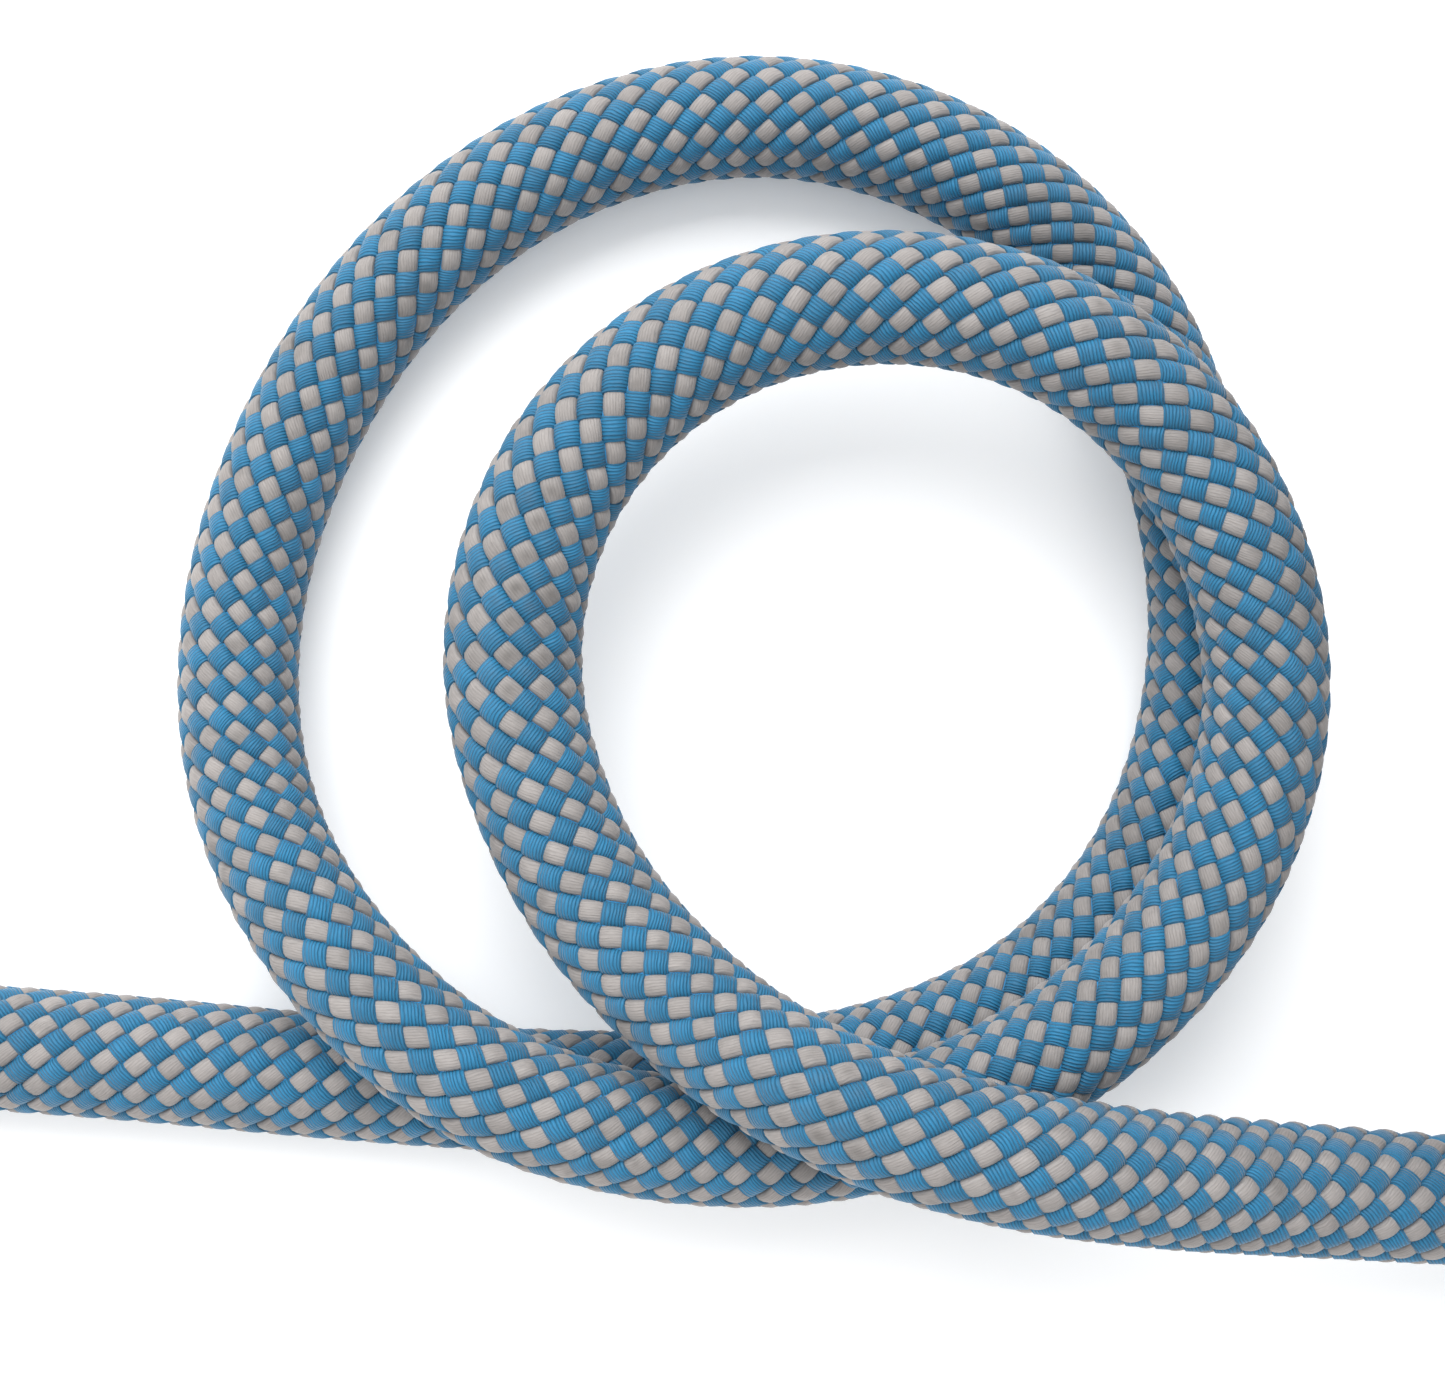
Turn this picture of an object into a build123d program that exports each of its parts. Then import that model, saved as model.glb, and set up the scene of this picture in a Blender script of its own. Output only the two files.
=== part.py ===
"""Dynamic climbing rope, 10 mm, 20 m: a kernmantle rope lying in two loose loops, with the rest of its length coiled.

Millimetres, +Z up, resting on Z = 0. The row's origin is the centre of the footprint.
"""

import os
from math import cos, degrees, pi, radians, sin, sqrt, tan

from build123d import *

# Rope section
ROPE_DIAMETER = 10.0
SHEATH_WALL = 1.0
STRAND_RADIUS = 0.95
INNER_STRANDS = 3
INNER_RING = 1.15
OUTER_STRANDS = 9
OUTER_RING = 3.02
OUTER_RING_START = 20.0  # degrees, so that the outer strands sit between the inner ones
TAPE_WIDTH, TAPE_THICKNESS = 1.6, 0.2
TAPE_OFFSET, TAPE_ANGLE = 1.7, 60.0

# What finishes each cut end
SEAL_LENGTH = 3.0
SEAL_ROUND = 1.5
BAND_LENGTH = 14.0
BAND_WALL = 0.4

# The loose loops, in their own frame: X to the right, Y away, Z up from the floor.
# The rope comes in at the left, goes once round the outer loop, once round the inner loop, which lies on it,
# and leaves to the right, down to the coil.
ROUTE = [
    (-92.0, -28.0, 5.4),
    (-59.0, -29.7, 5.4),
    (-26.0, -33.0, 5.0),
    (-8.0, -33.8, 5.0),
    (4.5, -32.9, 5.0),
    (17.0, -30.2, 5.0),
    (28.5, -24.0, 5.0),
    (37.3, -12.5, 5.0),
    (41.2, 3.5, 5.0),
    (38.8, 19.9, 5.0),
    (32.0, 34.5, 5.0),
    (19.5, 44.5, 5.0),
    (3.5, 48.5, 5.0),
    (-12.3, 45.2, 5.0),
    (-25.7, 36.2, 5.0),
    (-35.2, 22.8, 5.0),
    (-40.4, 7.0, 5.6),
    (-39.2, -8.8, 8.6),
    (-31.1, -21.7, 13.6),
    (-19.0, -31.5, 16.2),
    (-3.0, -36.0, 15.4),
    (13.0, -35.0, 15.2),
    (28.0, -28.0, 15.2),
    (39.0, -16.0, 15.2),
    (43.6, -0.5, 15.2),
    (39.6, 15.1, 16.0),
    (29.3, 27.0, 15.8),
    (13.7, 31.8, 14.4),
    (-2.2, 28.2, 13.4),
    (-13.8, 17.1, 13.2),
    (-17.7, 1.3, 13.6),
    (-12.3, -14.4, 15.6),
    (-2.4, -25.0, 20.0),
    (7.9, -30.4, 25.8),
    (19.5, -34.0, 26.8),
    (32.0, -36.7, 22.6),
    (45.0, -38.9, 16.6),
    (59.0, -40.9, 12.0),
    (76.5, -42.5, 9.0),
    (98.5, -43.8, 7.2),
    (124.5, -44.0, 6.6),
    (150.5, -44.0, 6.6),
]

# The coil: layers of turns side by side, wound anticlockwise, standing on its ties
TURN_PITCH = 10.1
TURNS_PER_LAYER = 5
LAYER_PITCH = 9.6
LAYERS = 10
OUTER_TURN_RADIUS = 81.6
TIE_WIDTH = 20.0
TIE_THICKNESS = 1.6
TIE_GAP = 0.05
TIE_ANGLES = (90.0, 210.0, 330.0)
TIE_INNER_ROUND = 4.0
COIL_ROUND = ROPE_DIAMETER / 2

# The last stretch, which lies in the gap that the top layer's outer turn leaves
GAP_START, GAP_END = 345.0, 440.0
TAIL_END = 415.0
TAIL_RADIUS = OUTER_TURN_RADIUS + 0.5

ROPE_RADIUS = ROPE_DIAMETER / 2
COIL_OUTER = OUTER_TURN_RADIUS + ROPE_RADIUS + 0.1
COIL_INNER = OUTER_TURN_RADIUS - (TURNS_PER_LAYER - 1) * TURN_PITCH - ROPE_RADIUS
COIL_BOTTOM = TIE_THICKNESS
COIL_TOP = COIL_BOTTOM + ROPE_DIAMETER + (LAYERS - 1) * LAYER_PITCH
GAP_FLOOR = COIL_TOP - LAYER_PITCH
COIL_CENTRE = (ROUTE[-1][0], ROUTE[-1][1] + OUTER_TURN_RADIUS)
TAIL_HEIGHT = GAP_FLOOR + ROPE_RADIUS + BAND_WALL + TIE_GAP


def footprint_centre():
    """The middle of the whole part's footprint, in the loops' frame."""
    left = ROUTE[0][0] - SEAL_LENGTH
    right = COIL_CENTRE[0] + COIL_OUTER
    front = COIL_CENTRE[1] - COIL_OUTER
    back = COIL_CENTRE[1] + COIL_OUTER + TIE_GAP + TIE_THICKNESS
    return ((left + right) / 2, (front + back) / 2)


CENTRE = footprint_centre()
COIL_X, COIL_Y = COIL_CENTRE[0] - CENTRE[0], COIL_CENTRE[1] - CENTRE[1]
COIL_PLANE = Plane((COIL_X, COIL_Y, 0))


def arc_radii(points):
    """One radius for each corner of the route: 0.45 of its shorter run, over the tangent of half the turn."""
    radii = []
    for before, here, after in zip(points, points[1:], points[2:]):
        arriving, leaving = here - before, after - here
        turn = arriving.get_angle(leaving)
        radii.append(0.45 * min(arriving.length, leaving.length) / tan(radians(turn) / 2))
    return radii


def on_coil(radius, angle, height):
    """A point of the coil, by its distance from the coil's axis, its angle in degrees and its height."""
    return Vector(
        COIL_X + radius * cos(radians(angle)), COIL_Y + radius * sin(radians(angle)), height
    )


route_points = [Vector(x - CENTRE[0], y - CENTRE[1], z) for x, y, z in ROUTE]
route_radii = arc_radii(route_points)
with BuildLine() as loops_line:
    FilletPolyline(*route_points, radius=route_radii)
loops_path = loops_line.wire()

with BuildLine(COIL_PLANE.offset(TAIL_HEIGHT)) as tail_line:
    CenterArc((0, 0), TAIL_RADIUS, GAP_START, TAIL_END - GAP_START)
tail_path = tail_line.wire()

BAND_TURN = degrees(BAND_LENGTH / TAIL_RADIUS)
with BuildLine() as near_band_line:
    Line(route_points[0], route_points[0] + (loops_path % 0) * BAND_LENGTH)
with BuildLine(COIL_PLANE.offset(TAIL_HEIGHT)) as far_band_line:
    CenterArc((0, 0), TAIL_RADIUS, TAIL_END - BAND_TURN, BAND_TURN)

os.makedirs("parts", exist_ok=True)
stretches = (loops_path, tail_path)


def section_plane(path):
    """The plane of the rope's section at the start of a path, with X level and Y as near up as it can be."""
    along = path % 0
    level = Vector(along.Y, -along.X, 0)
    return Plane(origin=path @ 0, x_dir=level, z_dir=along)


def save(piece, name):
    """Labels a finished piece and writes its STEP."""
    piece.label = name
    export_step(piece, f"parts/{name}.step")


# Sheath: the braided tube, drawn plain, along the loops and along the last stretch on the coil
with BuildPart() as sheath:
    for path in stretches:
        with BuildSketch(section_plane(path)):
            Circle(ROPE_RADIUS)
            Circle(ROPE_RADIUS - SHEATH_WALL, mode=Mode.SUBTRACT)
        sweep(path=path)
save(sheath.part, "sheath")

# Core strands: three in the middle and nine round them
strand_places = [(INNER_RING, 360 / INNER_STRANDS * i) for i in range(INNER_STRANDS)]
strand_places += [
    (OUTER_RING, OUTER_RING_START + 360 / OUTER_STRANDS * i) for i in range(OUTER_STRANDS)
]
for number, (ring, angle) in enumerate(strand_places, 1):
    with BuildPart() as core_strand:
        for path in stretches:
            with BuildSketch(section_plane(path)):
                with PolarLocations(ring, 1, start_angle=angle):
                    Circle(STRAND_RADIUS)
            sweep(path=path)
    save(core_strand.part, f"core_strand_{number:02d}")

# Identification tape, flat between two inner strands and an outer one
with BuildPart() as id_tape:
    for path in stretches:
        with BuildSketch(section_plane(path)):
            with PolarLocations(TAPE_OFFSET, 1, start_angle=TAPE_ANGLE):
                Rectangle(TAPE_THICKNESS, TAPE_WIDTH)
        sweep(path=path)
save(id_tape.part, "id_tape")


def end_seal(origin, outward, name):
    """The melted end: a short plug on the rope's cut face, rounded at its rim."""
    level = Vector(-outward.Y, outward.X, 0)
    half_section = Plane(origin=origin, x_dir=level, z_dir=level.cross(outward))
    with BuildPart() as seal:
        with BuildSketch(half_section):
            with BuildLine():
                Polyline(
                    (ROPE_RADIUS - SEAL_ROUND, SEAL_LENGTH),
                    (0, SEAL_LENGTH),
                    (0, 0),
                    (ROPE_RADIUS, 0),
                    (ROPE_RADIUS, SEAL_LENGTH - SEAL_ROUND),
                )
                CenterArc((ROPE_RADIUS - SEAL_ROUND, SEAL_LENGTH - SEAL_ROUND), SEAL_ROUND, 0, 90)
            make_face()
        revolve(axis=Axis(origin, outward))
    save(seal.part, name)


def end_band(path, name):
    """The shrink sleeve over the last of the sheath."""
    with BuildPart() as band:
        with BuildSketch(section_plane(path)):
            Circle(ROPE_RADIUS + BAND_WALL)
            Circle(ROPE_RADIUS, mode=Mode.SUBTRACT)
        sweep(path=path)
    save(band.part, name)


end_seal(loops_path @ 0, -(loops_path % 0), "near_end_seal")
end_seal(tail_path @ 1, tail_path % 1, "far_end_seal")
end_band(near_band_line.wire(), "near_end_band")
end_band(far_band_line.wire(), "far_end_band")

# Coil: one closed ring, with a slot along its front where the rope comes in, and the gap on top
SLOT_LENGTH = 70.0
SLOT_GAP = 0.25
SLOT_DEPTH = COIL_OUTER - OUTER_TURN_RADIUS + ROPE_RADIUS + SLOT_GAP
section_middle = (COIL_INNER + COIL_OUTER) / 2
section_width = COIL_OUTER - COIL_INNER
with BuildPart() as rope_coil:
    with BuildSketch(Plane(origin=(COIL_X, COIL_Y, 0), x_dir=(1, 0, 0), z_dir=(0, -1, 0))):
        with Locations((section_middle, (COIL_BOTTOM + COIL_TOP) / 2)):
            RectangleRounded(section_width, COIL_TOP - COIL_BOTTOM, COIL_ROUND)
    revolve(axis=Axis((COIL_X, COIL_Y, 0), (0, 0, 1)))
    with BuildSketch(COIL_PLANE):
        with Locations((-SLOT_LENGTH / 2, -COIL_OUTER + SLOT_DEPTH / 2)):
            Rectangle(SLOT_LENGTH, SLOT_DEPTH)
    extrude(amount=ROUTE[-1][2] + ROPE_RADIUS + SLOT_GAP, mode=Mode.SUBTRACT)
    gap_inner = OUTER_TURN_RADIUS - TURN_PITCH / 2
    gap_outer = COIL_OUTER + ROPE_RADIUS
    with BuildSketch(COIL_PLANE.offset(GAP_FLOOR)):
        with BuildLine():
            outer_edge = CenterArc((0, 0), gap_outer, GAP_START, GAP_END - GAP_START)
            inner_edge = CenterArc((0, 0), gap_inner, GAP_START, GAP_END - GAP_START)
            Line(outer_edge @ 0, inner_edge @ 0)
            Line(outer_edge @ 1, inner_edge @ 1)
        make_face()
    extrude(amount=COIL_TOP, mode=Mode.SUBTRACT)
save(rope_coil.part, "rope_coil")

# Coil ties: webbing closed round the coil's section
tie_inner_wall = sqrt(COIL_INNER**2 - (TIE_WIDTH / 2) ** 2) - TIE_GAP
tie_outer_wall = COIL_OUTER + TIE_GAP
tie_opening = (tie_outer_wall - tie_inner_wall, COIL_TOP + TIE_GAP - COIL_BOTTOM)
for number, angle in enumerate(TIE_ANGLES, 1):
    radial = Vector(cos(radians(angle)), sin(radians(angle)), 0)
    tie_plane = Plane(
        origin=on_coil((tie_inner_wall + tie_outer_wall) / 2, angle, COIL_BOTTOM + tie_opening[1] / 2),
        x_dir=radial,
        z_dir=radial.cross(Vector(0, 0, 1)),
    )
    with BuildPart() as coil_tie:
        with BuildSketch(tie_plane):
            RectangleRounded(
                tie_opening[0] + 2 * TIE_THICKNESS,
                tie_opening[1] + 2 * TIE_THICKNESS,
                TIE_INNER_ROUND + TIE_THICKNESS,
            )
            RectangleRounded(*tie_opening, TIE_INNER_ROUND, mode=Mode.SUBTRACT)
        extrude(amount=TIE_WIDTH / 2, both=True)
    save(coil_tie.part, f"coil_tie_{number}")

# The figures that the report states
section_area = pi * (ROPE_RADIUS**2 - (ROPE_RADIUS - SHEATH_WALL) ** 2)
swept_length = loops_path.length + tail_path.length
print("route radii", [round(radius, 1) for radius in route_radii])
print(f"tube length {loops_path.length:.1f}, tail {tail_path.length:.1f}")
print(f"sheath volume {sheath.part.volume:.0f}, section x length {section_area * swept_length:.0f}")
print(f"lowest points: sheath {sheath.part.bounding_box().min.Z:.3f}, coil {COIL_BOTTOM}")
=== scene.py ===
"""The looks of a 10 mm dynamic climbing rope: 24 braided yarns over its core, two loose loops and a tied coil.

Metres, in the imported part's frame. The rope is one line from its near end to its far end. Everything on the rope is
placed by `at`, its distance along that line counted in yarn crossings, and by an angle round the line.
"""

from math import cos, degrees, pi, radians, sin, sqrt, tau

import bpy
import numpy as np
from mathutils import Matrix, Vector


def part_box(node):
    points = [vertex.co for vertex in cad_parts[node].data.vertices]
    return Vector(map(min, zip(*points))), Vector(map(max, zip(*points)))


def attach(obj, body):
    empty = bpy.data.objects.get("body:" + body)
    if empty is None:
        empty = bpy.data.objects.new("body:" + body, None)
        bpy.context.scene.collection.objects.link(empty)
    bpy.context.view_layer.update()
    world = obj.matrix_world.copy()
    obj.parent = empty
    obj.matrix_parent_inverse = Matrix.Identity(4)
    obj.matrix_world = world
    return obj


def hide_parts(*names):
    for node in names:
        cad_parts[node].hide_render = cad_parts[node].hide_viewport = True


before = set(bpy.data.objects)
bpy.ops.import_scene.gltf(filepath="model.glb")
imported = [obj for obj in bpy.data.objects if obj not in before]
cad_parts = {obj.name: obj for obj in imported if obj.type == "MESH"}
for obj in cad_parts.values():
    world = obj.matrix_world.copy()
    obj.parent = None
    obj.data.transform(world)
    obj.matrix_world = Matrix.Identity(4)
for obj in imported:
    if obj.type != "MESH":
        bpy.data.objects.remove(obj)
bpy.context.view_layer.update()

ROPE_RADIUS = 0.005
CARRIERS = 12  # yarns in each direction
USUAL_PITCH = 0.00269  # along the rope, from one block to the next of the same colour

# The loose loops, as in the part's source: X to the right, Y away, Z up from the floor
ROUTE = [
    (-0.0920, -0.0280, 0.0054),
    (-0.0590, -0.0297, 0.0054),
    (-0.0260, -0.0330, 0.0050),
    (-0.0080, -0.0338, 0.0050),
    (0.0045, -0.0329, 0.0050),
    (0.0170, -0.0302, 0.0050),
    (0.0285, -0.0240, 0.0050),
    (0.0373, -0.0125, 0.0050),
    (0.0412, 0.0035, 0.0050),
    (0.0388, 0.0199, 0.0050),
    (0.0320, 0.0345, 0.0050),
    (0.0195, 0.0445, 0.0050),
    (0.0035, 0.0485, 0.0050),
    (-0.0123, 0.0452, 0.0050),
    (-0.0257, 0.0362, 0.0050),
    (-0.0352, 0.0228, 0.0050),
    (-0.0404, 0.0070, 0.0056),
    (-0.0392, -0.0088, 0.0086),
    (-0.0311, -0.0217, 0.0136),
    (-0.0190, -0.0315, 0.0162),
    (-0.0030, -0.0360, 0.0154),
    (0.0130, -0.0350, 0.0152),
    (0.0280, -0.0280, 0.0152),
    (0.0390, -0.0160, 0.0152),
    (0.0436, -0.0005, 0.0152),
    (0.0396, 0.0151, 0.0160),
    (0.0293, 0.0270, 0.0158),
    (0.0137, 0.0318, 0.0144),
    (-0.0022, 0.0282, 0.0134),
    (-0.0138, 0.0171, 0.0132),
    (-0.0177, 0.0013, 0.0136),
    (-0.0123, -0.0144, 0.0156),
    (-0.0024, -0.0250, 0.0200),
    (0.0079, -0.0304, 0.0258),
    (0.0195, -0.0340, 0.0268),
    (0.0320, -0.0367, 0.0226),
    (0.0450, -0.0389, 0.0166),
    (0.0590, -0.0409, 0.0120),
    (0.0765, -0.0425, 0.0090),
    (0.0985, -0.0438, 0.0072),
    (0.1245, -0.0440, 0.0066),
    (0.1505, -0.0440, 0.0066),
]

# What changes along the loose loops, each given at some of the route's points and read evenly between them.
# How full the rope is: its diameter over the usual one
FULLNESS = {
    0: 1.04, 2: 1.03, 4: 1.0, 15: 0.99, 24: 0.985, 27: 1.05,
    29: 1.1, 30: 1.11, 31: 1.07, 33: 1.02, 36: 1.03, 39: 1.01,
}
# The braid's pitch
PITCH = {
    0: 0.00276, 3: 0.00262, 4.5: 0.00244, 7: 0.00265, 8.5: 0.00252, 10.5: 0.00248,
    13: 0.00279, 15.5: 0.00277, 17: 0.00253, 18.5: 0.00289, 20: 0.00246, 22.5: 0.00274,
    24.5: 0.0026, 27: 0.00282, 31: 0.00272, 32.5: 0.00262, 33.5: 0.0025, 34.5: 0.0024,
    35.5: 0.0027, 36.5: 0.00295, 37.5: 0.0029, 39: 0.00275, 41: USUAL_PITCH,
}
# How far the braid has turned round the rope, in degrees, beyond what its line turns it
TWIST = {
    0: -7.5, 2: -5.0, 3: -15.5, 6: -12.0, 7: -10.0, 8: -17.5, 10: -22.5, 12: -30.0,
    14: -36.0, 16: -39.0, 18: -32.0, 19: -27.5, 22: -25.0, 23: -34.5, 24: -45.5, 25: -57.0,
    26: -70.5, 27: -78.5, 29: -84.5, 30: -80.0, 31: -73.5, 33: -69.0, 37: -76.0, 41: -78.0,
}
FIRST_CROSSING = -0.9  # the count of crossings at the near end
YARNS_END = 0.784  # along the rope: the loops and the first of the coil have yarns of their own

# The coil: layers of turns side by side, wound anticlockwise from the front
TURN_PITCH = 0.0101
LANES = 5
LAYER_PITCH = 0.0096
LAYERS = 10
OUTER_LANE = 0.0816
STEP_LENGTH = 0.048  # along the rope, where it passes from one lane or layer to the next
POINTS_PER_TURN = 24
COIL_START = 270.0  # where the loops' strand joins the outer lane, in degrees
SHORT_TURN = 170.0  # the last turn under the top layer, so that the top one starts and ends close to the tail
STRAY_OUT = (-0.0004, 0.0003)  # how far the turns lie from their lanes
STRAY_UP = (-0.0002, 0.0002)
TAIL_START, TAIL_END = 345.0, 415.0  # the last stretch, on top of the coil
TAIL_RADIUS, TAIL_HEIGHT = OUTER_LANE + 0.0005, 0.09385

coil_low, coil_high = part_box("rope_coil")
COIL_X, COIL_Y = (coil_low[0] + coil_high[0]) / 2, (coil_low[1] + coil_high[1]) / 2
LOOPS_X, LOOPS_Y = COIL_X - ROUTE[-1][0], COIL_Y - OUTER_LANE - ROUTE[-1][1]

# Colours
WHITE = (0.268, 0.248, 0.238)
BLUE = (0.009, 0.150, 0.295)
SOIL = (0.055, 0.052, 0.046)
LINING = (0.012, 0.17, 0.36)
LINING_PAINTED_GLOW = (0.01, 0.12, 0.30)  # painted glow: the lining gives off blue light of its own, standing in for light that comes through the thin yarns and bounces between them
MELTED_BLUE, MELTED_WHITE = (0.012, 0.09, 0.19), (0.30, 0.29, 0.26)
SLEEVE_BLACK = (0.018, 0.019, 0.022)
CORE_WHITE = (0.70, 0.68, 0.62)
TAPE_YELLOW = (0.55, 0.40, 0.05)
WEBBING = [(0.030, 0.033, 0.040), (0.048, 0.052, 0.060), (0.36, 0.37, 0.37)]  # two tones and the tracer yarns
THREAD_GREY = (0.42, 0.44, 0.46)
TONE_SHARES = (0.86, 1.0, 1.1)  # the coil's blocks come in these shares of their colour

# Where the loops are dirtiest: a place on them, its radius and how dark it is
SMUDGES = [
    ((-0.0143, 0.0135, 0.0180), 0.0042, 0.50),
    ((-0.0158, 0.0075, 0.0182), 0.0045, 0.62),
    ((-0.0160, 0.0015, 0.0186), 0.0042, 0.52),
    ((0.0080, -0.0300, 0.0300), 0.0060, 0.45),
    ((0.0300, 0.0280, 0.0205), 0.0050, 0.35),
]

random = np.random.default_rng(8)


def smooth(share):
    """0 to 1 with level ends."""
    share = min(1.0, max(0.0, share))
    return share * share * (3 - 2 * share)


# ---------------------------------------------------------------- camera


def add_camera():
    """Straight above the loose loops."""
    data = bpy.data.cameras.new("camera")
    data.sensor_width = 36
    data.lens = 50.83
    data.clip_start, data.clip_end = 0.01, 20
    camera = bpy.data.objects.new("camera", data)
    camera.location = (LOOPS_X, LOOPS_Y, 0.175)
    bpy.context.scene.collection.objects.link(camera)
    bpy.context.scene.camera = camera


# ---------------------------------------------------------------- the rope's line


def lane_radius(lane):
    return OUTER_LANE - lane * TURN_PITCH


def coil_legs():
    """(end angle, radius, height) of each stretch of the coil that stays in one lane of one layer."""
    floor = ROUTE[-1][2]
    legs, angle = [], COIL_START
    for layer in range(LAYERS):
        inward = layer % 2 == 0
        lanes = range(LANES) if inward else reversed(range(LANES))
        for place, lane in enumerate(lanes):
            turned = 360.0
            if layer == LAYERS - 2 and place == LANES - 1:
                turned = SHORT_TURN
            if layer == LAYERS - 1 and place == LANES - 1:
                turned = TAIL_START - (COIL_START + SHORT_TURN - 360.0)
            angle += turned
            legs.append((angle, lane_radius(lane), floor + layer * LAYER_PITCH))
    legs.append((angle + TAIL_END - TAIL_START, TAIL_RADIUS, TAIL_HEIGHT))
    return legs


def coil_points():
    """The control points of the coil's turns."""
    legs = coil_legs()
    step = 360 / POINTS_PER_TURN
    wider = 1 / (0.75 + 0.25 * cos(radians(step)))  # the spline passes inside its control points
    angle, leg, points = COIL_START + step, 0, []
    while angle < legs[-1][0] - step / 3:
        while angle > legs[leg][0]:
            leg += 1
        end, radius, height = legs[leg]
        if leg + 1 < len(legs):
            _, next_radius, next_height = legs[leg + 1]
            width = degrees(STEP_LENGTH / radius)
            share = smooth(1 - (end - angle) / width)
            radius += (next_radius - radius) * share
            height += (next_height - height) * share
            loose = 1.0
        else:
            loose = 0.0
        radius += loose * random.uniform(*STRAY_OUT)
        height += loose * random.uniform(*STRAY_UP)
        points.append((radius * wider, angle, height))
        angle += step
    points.append((TAIL_RADIUS, legs[-1][0], TAIL_HEIGHT))
    return [
        (COIL_X + radius * cos(radians(angle)), COIL_Y + radius * sin(radians(angle)), height)
        for radius, angle, height in points
    ]


SAMPLES = 24  # of the spline, per control point


def rope_line():
    """Points down the middle of the whole rope, read from its NURBS spline."""
    points = [(x + LOOPS_X, y + LOOPS_Y, z) for x, y, z in ROUTE] + coil_points()
    curve = bpy.data.curves.new("rope_route", "CURVE")
    curve.dimensions = "3D"
    spline = curve.splines.new("NURBS")
    spline.points.add(len(points) - 1)
    for target, point in zip(spline.points, points):
        target.co = (*point, 1)
    spline.order_u = 3
    spline.use_endpoint_u = True
    spline.resolution_u = SAMPLES
    route = bpy.data.objects.new("rope_route", curve)
    mesh = bpy.data.meshes.new_from_object(route)
    line = np.empty(len(mesh.vertices) * 3)
    mesh.vertices.foreach_get("co", line)
    bpy.data.meshes.remove(mesh)
    bpy.data.curves.remove(curve)
    return line.reshape(-1, 3)


def along_route(values, place):
    """Values given at some of the route's points, read at places counted in points of the spline."""
    points = sorted(values)
    return np.interp(place, np.array(points) - 0.5, [values[point] for point in points])


class RopeLine:
    """The rope's line with frames that don't twist, read at any distance along it."""

    def __init__(self, points):
        steps = np.linalg.norm(np.diff(points, axis=0), axis=1)
        kept = np.concatenate([[True], steps > 1e-7])
        self.points = points[kept]
        self.along = np.concatenate([[0], np.cumsum(np.linalg.norm(np.diff(self.points, axis=0), axis=1))])
        self.tangents = np.gradient(self.points, self.along, axis=0)
        self.tangents /= np.linalg.norm(self.tangents, axis=1)[:, None]
        self.sides = self.carried_side()
        place = np.flatnonzero(kept) / SAMPLES
        pitch = along_route(PITCH, place)
        passed = np.cumsum(np.diff(self.along) * 4 / (pitch[1:] + pitch[:-1]))  # two crossings for each pitch
        self.crossings = np.concatenate([[0], passed]) + FIRST_CROSSING
        self.fullness = along_route(FULLNESS, place)
        self.twist = np.radians(along_route(TWIST, place))

    def carried_side(self):
        """One direction square to the line, carried along it without turning about it. At the start it points up."""
        side = np.cross(np.cross(self.tangents[0], (0, 0, 1)), self.tangents[0])
        side /= np.linalg.norm(side)
        sides = np.empty_like(self.points)
        for i, tangent in enumerate(self.tangents):
            side = side - tangent * side.dot(tangent)
            side /= sqrt(side.dot(side))
            sides[i] = side
        return sides

    def at_length(self, length):
        return np.interp(length, self.along, self.crossings)

    def surface(self, at, angle, radius):
        """Points by their place along the rope in crossings, their angle round it from the top and their radius."""
        columns = [self.points, self.sides, np.cross(self.tangents, self.sides)]
        middle, up, across = (
            np.stack([np.interp(at, self.crossings, column[:, k]) for k in range(3)], axis=-1)
            for column in columns
        )
        angle = angle + np.interp(at, self.crossings, self.twist)
        radius = radius * np.interp(at, self.crossings, self.fullness)
        return middle + radius[..., None] * (np.cos(angle)[..., None] * up + np.sin(angle)[..., None] * across)


# ---------------------------------------------------------------- meshes


def mesh_piece(name, points, faces, materials, uvs=None, slots=None):
    """A piece from points, faces of three or four corners, and a UV pair for each face corner."""
    points = np.asarray(points, np.float32).reshape(-1, 3)
    corners = faces.shape[1]
    mesh = bpy.data.meshes.new(name)
    mesh.vertices.add(len(points))
    mesh.vertices.foreach_set("co", points.ravel())
    mesh.loops.add(faces.size)
    mesh.loops.foreach_set("vertex_index", faces.astype(np.int32).ravel())
    mesh.polygons.add(len(faces))
    mesh.polygons.foreach_set("loop_start", np.arange(0, faces.size, corners, dtype=np.int32))
    if slots is not None:
        mesh.polygons.foreach_set("material_index", slots.astype(np.int32))
    mesh.polygons.foreach_set("use_smooth", np.ones(len(faces), bool))
    if uvs is not None:
        layer = mesh.uv_layers.new(name="Yarn")
        layer.data.foreach_set("uv", np.asarray(uvs, np.float32).ravel())
    mesh.update(calc_edges=True)
    for material in materials:
        mesh.materials.append(material)
    piece = bpy.data.objects.new(name, mesh)
    bpy.context.scene.collection.objects.link(piece)
    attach(piece, "root")
    return piece


def grid_faces(rows, columns, closed):
    """Quads of a grid of points, rows by columns, whose columns join up if it is closed."""
    wide = columns if closed else columns - 1
    row, column = np.meshgrid(np.arange(rows - 1), np.arange(wide), indexing="ij")
    after = (column + 1) % columns
    quads = [row * columns + column, row * columns + after, (row + 1) * columns + after, (row + 1) * columns + column]
    return np.stack(quads, axis=-1).reshape(-1, 4)


def fan(ring, middle):
    """Triangles that close a ring of points, given by number, to one point."""
    ring = np.asarray(ring)
    return np.stack([ring, np.roll(ring, -1), np.full(len(ring), middle)], axis=1)


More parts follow.
